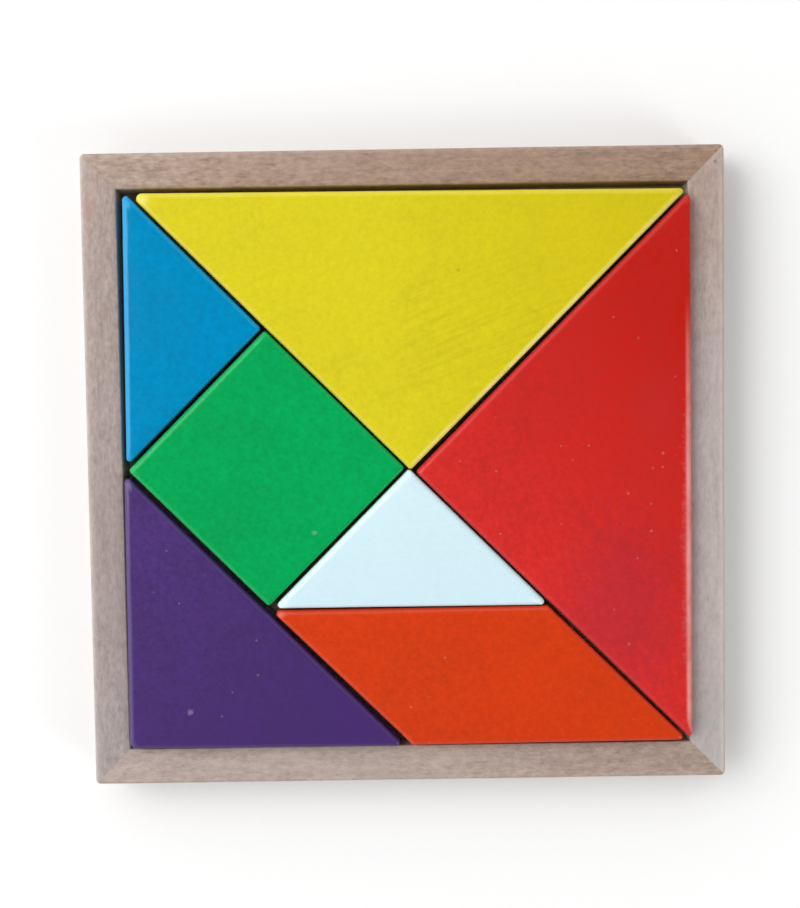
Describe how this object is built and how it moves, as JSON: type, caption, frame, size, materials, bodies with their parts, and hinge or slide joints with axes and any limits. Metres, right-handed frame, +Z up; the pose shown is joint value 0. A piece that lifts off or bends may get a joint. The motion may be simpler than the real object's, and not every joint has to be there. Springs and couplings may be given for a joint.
{
  "type": "tangram puzzle",
  "caption": "Square dissection puzzle: painted wooden triangles, a square and a parallelogram that fill a shallow mitred wooden tray.",
  "frame": {"origin": "middle of the tray's underside", "axes": "+Z up out of the tray, +X along the rail beside the yellow and the orange piece, towards the red piece, +Y towards the rail beside the yellow piece"},
  "size_m": [0.151, 0.1498, 0.0145],
  "materials": {
    "beech": "bare beech, planed and sanded",
    "plywood": "bare beech-faced plywood",
    "paint_yellow": "satin paint on wood",
    "paint_red": "satin paint on wood",
    "paint_blue": "satin paint on wood",
    "paint_green": "satin paint on wood",
    "paint_white": "satin paint on wood",
    "paint_purple": "satin paint on wood",
    "paint_orange": "satin paint on wood"
  },
  "bodies": {
    "root": {"rail_top": "beech", "rail_bottom": "beech", "rail_left": "beech", "rail_right": "beech", "base_panel": "plywood", "large_triangle_yellow": "paint_yellow", "large_triangle_red": "paint_red", "small_triangle_blue": "paint_blue", "small_triangle_white": "paint_white", "medium_triangle_purple": "paint_purple", "square_green": "paint_green", "parallelogram_orange": "paint_orange"}
  },
  "joints": []
}
